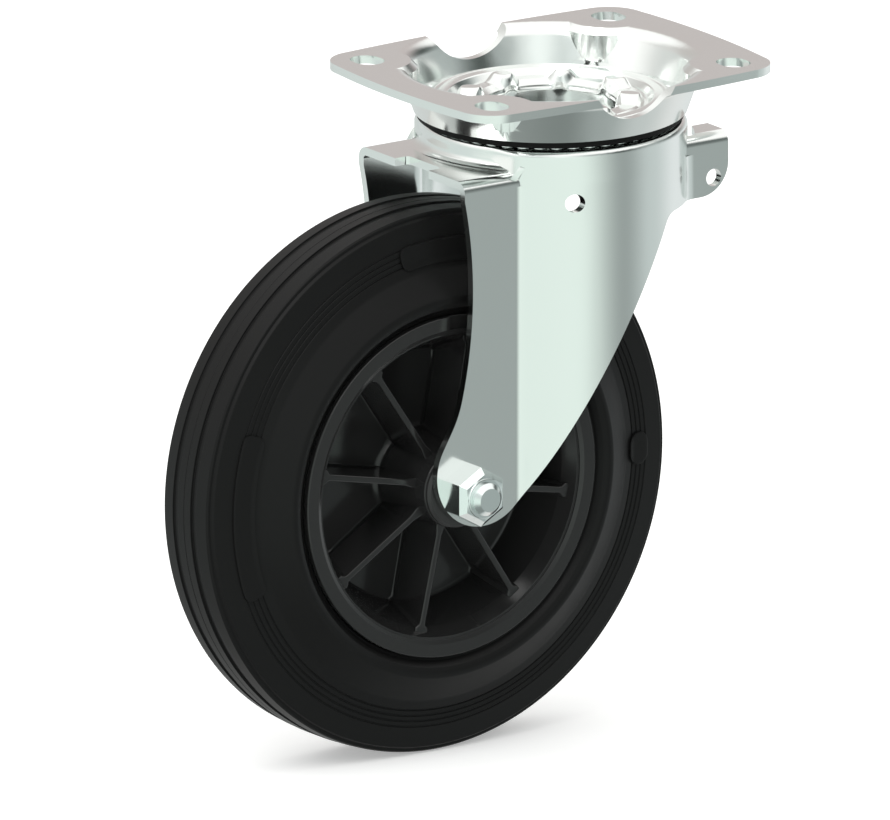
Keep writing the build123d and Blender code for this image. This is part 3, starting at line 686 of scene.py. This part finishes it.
@dataclass(frozen=True)
class HeadSizes:
    """Sizes of the swivel bearing in millimetres: radii from the swivel axis, heights from the plate's top.

    Each edge of a corner facet is where it starts and the way that it runs from there.
    """

    ball_radius: float = 2.5
    ball_count: int = 45
    ball_rows: int = 13
    ball_columns: int = 24
    pitch: float = 42.6
    upper: float = -14.8
    lower: float = -20.9
    groove: float = 2.55
    groove_span: Spot = (190.0, 80.0)
    ring_bottom: float = -22.2
    ring_in: float = 24.05
    ring_race: float = 40.05
    ring_top: float = -12.0
    ring_seat: float = -15.0
    ring_rim: float = 36.0
    ring_edge: float = 42.2
    ring_bevel: Spot = (1.6, 1.0)
    ring_slope: float = 1.0
    pin_bore: float = 21.0
    pin_low: float = -25.2
    pin_step: float = 0.6
    pin_taper: float = 0.2
    pin_wall: float = 0.7
    crimp_out: float = 33.6
    crimp_height: float = 1.7
    crimp_bevel: float = 2.8
    crimp_edge: float = 1.4
    crimp_under: Spot = (0.25, 0.3)
    crimp_step: float = 0.45
    crimp_columns: int = 480
    flare: float = 24.2
    lobes: int = 8
    lobe_phase: float = 1.5
    lobe_pitch: float = 29.4
    lobe_radius: float = 6.4
    lobe_crown: float = 0.35
    lobe_stretch: float = 1.15
    lobe_rise: float = 3.1
    lobe_reach: float = 1.6
    lobe_fade: Spot = (-4.0, 0.6)
    seal_in: float = 45.4
    seal_out: float = 47.7
    seal_draft: float = 0.3
    seal_top: float = -16.4
    seal_low: float = -19.55
    rim_top: float = -20.5
    rim_low: float = -22.95
    neck: float = 46.4
    neck_flat: float = 45.3
    drum: float = 48.98
    drum_flat: float = 46.48
    flat_top: float = -28.8
    flat_sink: float = 0.05
    foot: float = 4.0
    foot_least: float = 0.01
    blend_from: float = 63.0
    blend_to: float = 46.0
    collar_end: float = 40.0
    collar_drop: float = 5.0
    collar_wall: float = 0.6
    collar_top: float = 1.5
    collar_under: Spot = (1.0, 0.5)
    facet_low: tuple[Corner, Corner] = ((33.05, -37.9, -31.3), (1.35, 2.95, 4.7))
    facet_high: tuple[Corner, Corner] = ((32.4, -40.2, -30.3), (0.7, 3.6, 4.2))
    facet_inner: tuple[Corner, Corner] = ((31.6, -38.6, -31.2), (1.0, 3.2, 4.0))
    rear_from: float = -32.95
    lip_clear: float = 0.5
    seat_clear: float = 0.02
    wall_clear: float = 0.1


@dataclass(frozen=True)
class Head:
    """The swivel head: plate, two rows of balls, upper ring, crimp, collar and dust seal."""

    sizes: HeadSizes
    finishes: Finishes

    def balls(self, height: float) -> list[Patch]:
        """Lays one row of true balls, each a grid of latitudes and longitudes with its poles drawn together.

        Args:
            height: The height of the balls' middles.

        Returns:
            One grid for each ball.
        """
        sizes = self.sizes
        tilt = np.linspace(-math.pi / 2, math.pi / 2, sizes.ball_rows)[:, None]
        turn = np.linspace(0.0, 2 * math.pi, sizes.ball_columns, endpoint=False)[None, :]
        ball = sizes.ball_radius * polar(np.cos(tilt), turn, np.sin(tilt))
        places = np.radians(np.arange(sizes.ball_count) * 360.0 / sizes.ball_count)
        middles = polar(np.full_like(places, sizes.pitch), places, height)
        return [Patch(ball + middle) for middle in middles]

    def turned(self, line: np.ndarray, count: int = 240) -> np.ndarray:
        """Turns a line of (radius, height) points about the swivel axis in a count of steps."""
        turn = np.linspace(0.0, 2 * math.pi, count, endpoint=False)[None, :]
        return polar(line[:, 0][:, None], turn, line[:, 1][:, None])

    def ring(self) -> Patch:
        """Turns the upper ring: a sunk seat for the crimp, a rounded rim, and a groove that holds the balls.

        Returns:
            The ring's grid.
        """
        sizes = self.sizes
        bend = np.radians(np.linspace(*sizes.groove_span, 14))
        race = [
            (sizes.pitch + sizes.groove * math.cos(turn), sizes.upper + sizes.groove * math.sin(turn), 0.0)
            for turn in bend
        ]
        line = rounded(
            [
                (sizes.ring_in, sizes.ring_bottom, 0.0),
                (sizes.ring_race, sizes.ring_bottom, 0.3),
                *race,
                (sizes.ring_edge, sizes.ring_top - sizes.ring_bevel[1], 0.2),
                (sizes.ring_edge - sizes.ring_bevel[0], sizes.ring_top, 0.5),
                (sizes.ring_rim + sizes.ring_slope, sizes.ring_top, 0.9),
                (sizes.ring_rim - sizes.ring_slope, sizes.ring_seat, 0.8),
                (sizes.ring_in, sizes.ring_seat, 0.0),
            ]
        )
        return Patch(self.turned(line), wrap_rows=True)

    def crimp(self) -> Patch:
        """Rolls the king pin's top outwards over the ring.

        The lip's section flares out of the bore to a crisp bevel and a flat top. At each of the lobes a knob
        rises on it and leans over the bore. The lift falls from the knob's middle to nothing at its edge as
        an even S-curve, and the edge is an ellipse that is longer along the radius.

        Returns:
            The lip's grid.
        """
        sizes = self.sizes
        seat, flat = sizes.ring_seat, sizes.ring_seat + sizes.crimp_height
        wall = sizes.flare - sizes.pin_wall
        line = rounded(
            [
                (sizes.pin_bore, sizes.pin_low, 0.0),
                (wall - sizes.pin_taper, sizes.pin_low + sizes.pin_step, 1.0),
                (wall, seat - 1.5, 0.0),
                (sizes.flare, seat - 0.1, 0.25),
                (sizes.flare + sizes.crimp_bevel, flat, 0.3),
                (sizes.crimp_out - sizes.crimp_edge, flat - 0.2, 1.0),
                (sizes.crimp_out - 0.2, flat - 0.9, 0.5),
                (sizes.crimp_out, seat - 0.05, 0.0),
            ],
            steps=8,
        )
        fine = []
        for first, last in zip(line[:-1], line[1:]):
            pieces = max(1, int(np.hypot(*(last - first)) / sizes.crimp_step))
            fine.append(first + (last - first) * np.linspace(0.0, 1.0, pieces, endpoint=False)[:, None])
        upper = np.concatenate(fine)
        under_r, under_z = sizes.flare - sizes.crimp_under[0], seat - sizes.crimp_under[1]
        lower = np.array([line[-1], (under_r, under_z), (under_r, sizes.pin_low)])
        grid = self.turned(np.concatenate((upper, lower)), sizes.crimp_columns)
        radius = np.hypot(grid[..., 0], grid[..., 1])
        angle = np.arctan2(grid[..., 1], grid[..., 0])
        step = 2.0 * math.pi / sizes.lobes
        near = (angle - math.radians(sizes.lobe_phase) + step / 2.0) % step - step / 2.0
        along = (radius * np.cos(near) - sizes.lobe_pitch) / sizes.lobe_stretch
        away = np.hypot(along, radius * np.sin(near))
        lift = 1.0 - smoothstep(sizes.lobe_radius * sizes.lobe_crown, sizes.lobe_radius, away)
        lift *= smoothstep(seat + sizes.lobe_fade[0], seat + sizes.lobe_fade[1], grid[..., 2])
        lift[len(upper) :] = 0.0
        grid[..., 2] += sizes.lobe_rise * lift
        inward = 1.0 - sizes.lobe_reach * lift * (radius < sizes.lobe_pitch) / radius
        grid[..., :2] *= inward[..., None]
        return Patch(grid, wrap_rows=True)

    def seal(self) -> Patch:
        """Turns the dust seal: a plain ring that hangs from the plate's edge to just above the crown's rim.

        Returns:
            The seal's grid.
        """
        sizes = self.sizes
        line = rounded(
            [
                (sizes.seal_in, sizes.seal_top, 0.0),
                (sizes.seal_in, sizes.seal_low, 0.2),
                (sizes.seal_out, sizes.seal_low, 0.4),
                (sizes.seal_out + sizes.seal_draft, sizes.seal_top, 0.0),
            ]
        )
        return Patch(self.turned(line), wrap_rows=True)

    def collar(self) -> Patch:
        """Rounds the crown's rim and neck at the rear, and widens the neck smoothly to the drum at both ends.

        The section is carried round the axis. Its radius passes from the neck's to the drum's as an even
        S-curve of the angle from straight back. As it does, the hollow curve at its foot shrinks and its
        lower edge drops down the drum.

        Returns:
            The collar's grid, with both ends closed.
        """
        sizes = self.sizes
        reach = 90.0 - sizes.collar_end
        turn = np.linspace(-reach, reach, 189)
        share = smoothstep(90.0 - sizes.blend_from, 90.0 - sizes.blend_to, np.abs(turn))[None, :]
        wide = sizes.neck + (sizes.drum - sizes.neck) * share
        flat = sizes.neck_flat + (sizes.drum_flat - sizes.neck_flat) * share
        inner = flat - sizes.collar_wall
        arc = np.radians(np.linspace(90.0, 0.0, 9))[:, None]
        rim_r = flat + (wide - flat) * np.cos(arc)
        rim_z = sizes.rim_low + (sizes.rim_top - sizes.rim_low) * np.sin(arc) * np.ones_like(wide)
        bend = np.radians(np.linspace(180.0, 270.0, 9))[:, None]
        foot = sizes.foot * (1.0 - share) ** 2 + sizes.foot_least
        low = sizes.flat_top - sizes.flat_sink - sizes.collar_drop * share
        foot_r = wide + foot + foot * np.cos(bend)
        foot_z = low + foot + foot * np.sin(bend)
        under_r, under_z = foot_r[-1:] - sizes.collar_under[0], low - sizes.collar_under[1]
        hidden_top = np.full_like(wide, sizes.rim_top - sizes.collar_top)
        radius = np.concatenate((inner, rim_r, foot_r, under_r, inner))
        height = np.concatenate((hidden_top, rim_z, foot_z, under_z, under_z))
        grid = polar(radius, np.radians(turn - 90.0), height)
        return Patch(capped(grid, 1), wrap_rows=True, wrap_columns=False)

    def gusset(self, side: int) -> Patch:
        """Fills the corner where a leg, the rear flat and the drum meet with one leaning facet.

        The facet is ruled between two straight edges, one low on the leg and drum, one high on the flat and
        rim. A third edge inside the sheet closes it.

        Args:
            side: 1 on the near side, -1 on the far side.

        Returns:
            The corner's grid.
        """
        sizes = self.sizes
        share = np.linspace(0.0, 1.0, 13)[:, None]
        low, high, inner = (
            (np.array(start) + share * np.array(way))[:, None, :]
            for start, way in (sizes.facet_low, sizes.facet_high, sizes.facet_inner)
        )
        across = np.linspace(0.0, 1.0, 7)[None, :, None]
        grid = np.concatenate((low + across * (high - low), inner), axis=1)
        return Patch(capped(grid, 0) * (side, 1.0, 1.0))

    def build(self) -> None:
        """Makes the head's pieces."""
        sizes, finishes = self.sizes, self.finishes
        smooth_copy("top_plate", finishes.zinc, Body.PLATE, 28.0)
        seal = mesh_of("seal_lip", [self.seal()], 40.0)
        dress(seal, "seal_lip", finishes.seal, Body.PLATE, "dust_seal")
        for node, height, body in (
            ("upper_balls", sizes.upper, Body.UPPER_ROW),
            ("lower_balls", sizes.lower, Body.LOWER_ROW),
        ):
            mesh = mesh_of(node + "_round", self.balls(height), 60.0)
            dress(mesh, node + "_round", finishes.ball, body, node)
        for name, patches, sharp, node in (
            ("ring_turned", [self.ring()], 24.0, "king_ring"),
            ("crimp", [self.crimp()], 50.0, "fork_crown"),
            ("collar", [self.collar()], 50.0, "fork_crown"),
            ("corner_facets", [self.gusset(1), self.gusset(-1)], 40.0, "fork_crown"),
        ):
            dress(mesh_of(name, patches, sharp), name, finishes.zinc, Body.FORK, node)


# Fork and axle


@dataclass(frozen=True)
class NutSizes:
    """Sizes of the axle nut in millimetres, along +X and round the axle."""

    seat: float = 33.0
    shoulder: float = 42.0
    bevel_end: float = 44.2
    bevel_step: float = 0.15
    face: float = 45.0
    flat_half: float = 9.5
    bevel_half: float = 7.55
    collar: float = 7.3
    collar_round: float = 0.35
    collar_edge: float = 0.1
    bore: float = 6.02
    turn: float = 30.0


@dataclass(frozen=True)
class Fork:
    """The pressed fork with the axle it holds. The frame keeps the pressing as three nodes."""

    head: HeadSizes
    nut: NutSizes
    finishes: Finishes

    def nut_body(self) -> Patch:
        """Shapes the lock nut: a hexagon with a bevel on each flat that runs into a round collar.

        A ring of it is a hexagon or a circle. The hexagon's radius at an angle is half its width over flats,
        divided by the cosine of the angle from the middle of the nearest flat.

        Returns:
            The nut's grid.
        """
        nut = self.nut
        angle = np.radians(np.arange(0.0, 360.0, 2.5))
        spread = 1.0 / np.cos(np.radians((np.degrees(angle) - nut.turn) % 60.0 - 30.0))
        rings = [
            (nut.seat, np.full_like(angle, nut.bore)),
            (nut.seat, nut.flat_half * spread),
            (nut.shoulder, nut.flat_half * spread),
            (nut.bevel_end, np.maximum(nut.bevel_half * spread, nut.collar)),
            (nut.bevel_end + nut.bevel_step, np.full_like(angle, nut.collar)),
            (nut.face - nut.collar_round, np.full_like(angle, nut.collar)),
            (nut.face - nut.collar_edge, np.full_like(angle, nut.collar - nut.collar_edge)),
            (nut.face, np.full_like(angle, nut.collar - nut.collar_round)),
            (nut.face, np.full_like(angle, nut.bore)),
        ]
        across = np.array([place for place, _ in rings])[:, None]
        radius = np.stack([ring for _, ring in rings])
        return Patch(round_axle(across, radius, angle), wrap_rows=True)

    def stays(self, middle: Vector) -> bool:
        """Says whether a face of the crown is kept, clear of what the new lip, bore and neck replace.

        Args:
            middle: The face's middle in metres.

        Returns:
            True where the face stays.
        """
        head = self.head
        radius, height = math.hypot(middle.x, middle.y) / MM, middle.z / MM
        lip_edge = head.lobe_pitch + head.lobe_radius + head.lip_clear
        on_lip = radius < lip_edge and height > head.ring_seat - head.seat_clear
        in_bore = radius < head.pin_bore + head.wall_clear and height > head.pin_low
        behind = middle.y / MM < head.rear_from and height > head.flat_top + head.foot
        on_neck = behind and head.neck_flat < radius < head.drum + head.wall_clear
        return not on_lip and not on_neck and not in_bore

    def build(self) -> None:
        """Makes the crown, the legs, the axle bolt, its nut and the sleeve and rollers inside the wheel."""
        finishes = self.finishes
        smooth_copy("fork_crown", finishes.zinc, Body.FORK, 32.0, self.stays)
        for node in ("fork_leg_near", "fork_leg_far"):
            smooth_copy(node, finishes.zinc, Body.FORK)
        for node in ("axle_sleeve", "axle_bolt"):
            smooth_copy(node, finishes.fastener, Body.FORK, 20.0)
        nut = mesh_of("nut", [self.nut_body()], 18.0)
        dress(nut, "nut", finishes.fastener, Body.FORK, "axle_nut")
        smooth_copy("nut_insert", finishes.nylon, Body.FORK)
        smooth_copy("roller_cage", finishes.nylon, Body.ROLLER_SET)
        smooth_copy("rollers", finishes.ball, Body.ROLLER_SET)


# Studio


@dataclass
class Studio:
    """Camera, light and floor. The view is the photo's own: straight lines of sight, with no perspective.

    Each ring of light lists azimuths in degrees with the colour there. A fade is the two heights, on a globe
    of radius 1, between which one ring passes into the next. Distances are in metres.
    """

    floor_height: float
    azimuth: float = 55.0
    elevation: float = 15.0
    pixels_per_metre: float = 2805.0
    frame_width: int = 890
    frame_height: int = 820
    origin_pixel: Spot = (550.25, 61.3)
    camera_distance: float = 2.0
    floor_half: float = 6.0
    floor_grey: float = 0.9
    floor_lift: float = 0.35
    lamp_aim: Corner = (0.0, -0.03, -0.12)
    lamp_distance: float = 1.5
    lamp_azimuth: float = -75.0
    lamp_elevation: float = 55.0
    lamp_width: float = 1.2
    lamp_power: float = 6.0
    below_fade: Spot = (-0.75, -0.30)
    above_fade: Spot = (-0.10, 0.32)
    roof_fade: Spot = (0.42, 0.62)
    light_below: Stops = (
        (-180.0, (0.70, 0.70, 0.68)),
        (-100.0, (0.30, 0.33, 0.32)),
        (-20.0, (0.22, 0.25, 0.24)),
        (20.0, (0.36, 0.40, 0.39)),
        (60.0, (0.58, 0.62, 0.61)),
        (115.0, (0.84, 0.82, 0.80)),
        (180.0, (0.70, 0.70, 0.68)),
    )
    light_level: Stops = (
        (-180.0, (0.66, 0.70, 0.69)),
        (-130.0, (0.70, 0.77, 0.75)),
        (-60.0, (0.84, 0.95, 0.89)),
        (-12.0, (0.86, 0.97, 0.91)),
        (30.0, (0.34, 0.38, 0.37)),
        (60.0, (0.58, 0.64, 0.63)),
        (95.0, (0.82, 0.86, 0.86)),
        (180.0, (0.66, 0.70, 0.69)),
    )
    light_above: Stops = (
        (-180.0, (0.58, 0.55, 0.53)),
        (-145.0, (0.74, 0.74, 0.72)),
        (-106.0, (1.20, 1.20, 1.18)),
        (-49.0, (0.66, 0.72, 0.70)),
        (-25.0, (1.02, 1.08, 1.05)),
        (8.0, (0.40, 0.44, 0.43)),
        (26.0, (0.06, 0.075, 0.07)),
        (62.0, (0.40, 0.44, 0.43)),
        (95.0, (0.08, 0.095, 0.09)),
        (130.0, (0.57, 0.51, 0.50)),
        (180.0, (0.58, 0.55, 0.53)),
    )
    light_roof: Colour = (1.15, 1.15, 1.13)

    def axes(self) -> tuple[Vector, Vector, Vector]:
        """Works out how the camera stands.

        Returns:
            Its right, up and back directions.
        """
        turn, lift = math.radians(self.azimuth), math.radians(self.elevation)
        right = Vector((math.cos(turn), math.sin(turn), 0.0))
        back = Vector((math.sin(turn) * math.cos(lift), -math.cos(turn) * math.cos(lift), math.sin(lift)))
        return right, back.cross(right), back

    def place_camera(self) -> bpy.types.Object:
        """Puts the camera where the photo's was.

        Returns:
            The camera, also set as the scene's own.
        """
        right, up, back = self.axes()
        across = (self.frame_width / 2 - self.origin_pixel[0]) / self.pixels_per_metre
        along = (self.origin_pixel[1] - self.frame_height / 2) / self.pixels_per_metre
        lens = bpy.data.cameras.new("camera")
        lens.type = "ORTHO"
        lens.ortho_scale = self.frame_width / self.pixels_per_metre
        camera = bpy.data.objects.new("camera", lens)
        bpy.context.scene.collection.objects.link(camera)
        spot = right * across + up * along + back * self.camera_distance
        camera.matrix_world = Matrix.Translation(spot) @ Matrix((right, up, back)).transposed().to_4x4()
        bpy.context.scene.camera = camera
        return camera

    def light_world(self) -> None:
        """Surrounds the part with a soft studio whose strength depends on the direction only.

        Three rings of broad, evenly blended sources stand round the part under a plain roof: one below the
        horizon, one just under it and one above it. Pale sources face the camera's side and the wheel's
        rear, and the upper ring has a wide dark bay between the nut's side and the way of travel. The camera
        itself sees plain white.
        """
        world = bpy.data.worlds.new("studio")
        bpy.context.scene.world = world
        world.use_nodes = True
        tree = world.node_tree
        ground = tree.nodes["Background"]
        place = tree.nodes.new("ShaderNodeTexCoord").outputs["Generated"]
        split = shader_node(tree, "ShaderNodeSeparateXYZ", {"Vector": place}, {})
        turn = tree.nodes.new("ShaderNodeMath")
        turn.operation = "ARCTAN2"
        tree.links.new(split.outputs["Y"], turn.inputs[0])
        tree.links.new(split.outputs["X"], turn.inputs[1])
        circle = {"From Min": -math.pi, "From Max": math.pi}
        share = shader_node(tree, "ShaderNodeMapRange", {"Value": turn.outputs["Value"]}, circle)
        below = self.ring_of_light(tree, share, self.light_below)
        level = self.ring_of_light(tree, share, self.light_level)
        above = self.ring_of_light(tree, share, self.light_above)
        lower = self.blend(tree, split, self.below_fade, below, level)
        whole = self.blend(tree, split, self.above_fade, lower, above)
        roof = tree.nodes.new("ShaderNodeRGB")
        roof.outputs["Color"].default_value = (*self.light_roof, 1.0)
        whole = self.blend(tree, split, self.roof_fade, whole, roof.outputs["Color"])
        seen = tree.nodes.new("ShaderNodeLightPath")
        white = tree.nodes.new("ShaderNodeMix")
        white.data_type = "RGBA"
        white.inputs["B"].default_value = (1.0, 1.0, 1.0, 1.0)
        tree.links.new(seen.outputs["Is Camera Ray"], white.inputs["Factor"])
        tree.links.new(whole, white.inputs["A"])
        tree.links.new(white.outputs["Result"], ground.inputs["Color"])
        ground.inputs["Strength"].default_value = 1.0

    def ring_of_light(
        self, tree: bpy.types.NodeTree, share: bpy.types.Node, stops: Stops
    ) -> bpy.types.NodeSocket:
        """Adds one ring of sources that blend into each other round the horizon.

        Args:
            tree: The world's node tree.
            share: The node that gives the azimuth as a share of a full turn, from -180 degrees.
            stops: Azimuths in degrees with the colour there.

        Returns:
            The ring's colour.
        """
        ramp = tree.nodes.new("ShaderNodeValToRGB")
        tree.links.new(share.outputs["Result"], ramp.inputs["Fac"])
        ramp.color_ramp.interpolation = "EASE"
        while len(ramp.color_ramp.elements) < len(stops):
            ramp.color_ramp.elements.new(0.5)
        for element, (angle, colour) in zip(ramp.color_ramp.elements, stops):
            element.position = (angle + 180.0) / 360.0
            element.color = (*colour, 1.0)
        return ramp.outputs["Color"]

    def blend(
        self,
        tree: bpy.types.NodeTree,
        split: bpy.types.Node,
        fade: Spot,
        first: bpy.types.NodeSocket,
        second: bpy.types.NodeSocket,
    ) -> bpy.types.NodeSocket:
        """Passes from one colour to another as the direction rises.

        Args:
            tree: The world's node tree.
            split: The node that gives the direction's three parts.
            fade: The two heights between which the colour passes.
            first: The colour below them.
            second: The colour above them.

        Returns:
            The mixed colour.
        """
        heights = {"From Min": fade[0], "From Max": fade[1]}
        rise = shader_node(tree, "ShaderNodeMapRange", {"Value": split.outputs["Z"]}, heights)
        rise.interpolation_type = "SMOOTHSTEP"
        mix = tree.nodes.new("ShaderNodeMix")
        mix.data_type = "RGBA"
        tree.links.new(rise.outputs["Result"], mix.inputs["Factor"])
        tree.links.new(first, mix.inputs["A"])
        tree.links.new(second, mix.inputs["B"])
        return mix.outputs["Result"]

    def lay_floor(self) -> bpy.types.Object:
        """Lays a plain white floor under the tyre, which takes its shadow and isn't mirrored in the metal.

        Returns:
            The floor, marked as stage.
        """
        span, height = self.floor_half, self.floor_height
        corners = [(-span, -span, height), (span, -span, height), (span, span, height), (-span, span, height)]
        mesh = bpy.data.meshes.new("floor")
        mesh.from_pydata(corners, [], [(0, 1, 2, 3)])
        floor = bpy.data.objects.new("floor", mesh)
        bpy.context.scene.collection.objects.link(floor)
        made = bpy.data.materials.new("floor_white")
        made.use_nodes = True
        tree = made.node_tree
        tree.nodes.remove(tree.nodes["Principled BSDF"])
        matt = tree.nodes.new("ShaderNodeBsdfDiffuse")
        matt.inputs["Color"].default_value = (self.floor_grey, self.floor_grey, self.floor_grey, 1.0)
        lift = shader_node(tree, "ShaderNodeEmission", {}, {"Strength": self.floor_lift})
        both = tree.nodes.new("ShaderNodeAddShader")
        tree.links.new(matt.outputs["BSDF"], both.inputs[0])
        tree.links.new(lift.outputs["Emission"], both.inputs[1])
        clear = tree.nodes.new("ShaderNodeBsdfTransparent")
        seen = tree.nodes.new("ShaderNodeLightPath")
        pick = tree.nodes.new("ShaderNodeMixShader")
        tree.links.new(seen.outputs["Is Glossy Ray"], pick.inputs["Fac"])
        tree.links.new(both.outputs["Shader"], pick.inputs[1])
        tree.links.new(clear.outputs["BSDF"], pick.inputs[2])
        tree.links.new(pick.outputs["Shader"], tree.nodes["Material Output"].inputs["Surface"])
        mesh.materials.append(made)
        return floor

    def hang_lamp(self) -> bpy.types.Object:
        """Hangs one soft square lamp that faces the wheel.

        Returns:
            The lamp.
        """
        data = bpy.data.lights.new("key", "AREA")
        data.size = self.lamp_width
        data.energy = self.lamp_power
        lamp = bpy.data.objects.new("key", data)
        bpy.context.scene.collection.objects.link(lamp)
        turn, lift = math.radians(self.lamp_azimuth), math.radians(self.lamp_elevation)
        out = Vector((math.cos(turn) * math.cos(lift), math.sin(turn) * math.cos(lift), math.sin(lift)))
        lamp.location = Vector(self.lamp_aim) + out * self.lamp_distance
        lamp.rotation_euler = out.to_track_quat("Z", "Y").to_euler()
        return lamp

    def build(self) -> None:
        """Sets the whole studio up."""
        bpy.context.scene.view_settings.view_transform = "Standard"
        self.place_camera()
        self.light_world()
        self.lay_floor()
        self.hang_lamp()


def main() -> None:
    """Builds every piece in order."""
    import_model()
    finishes, head, wheel = Finishes(), HeadSizes(), WheelSizes()
    Studio(floor_height=(AXLE_Z - wheel.radius) * MM).build()
    Head(head, finishes).build()
    Fork(head, NutSizes(), finishes).build()
    Wheel(wheel, finishes).build()
    for piece in bpy.context.scene.objects:
        if piece.type == "MESH" and "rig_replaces" in piece:
            LOG.info("%s: %d faces", piece.name, len(piece.data.polygons))


if __name__ == "__main__":
    logging.basicConfig(level=logging.INFO)
    main()
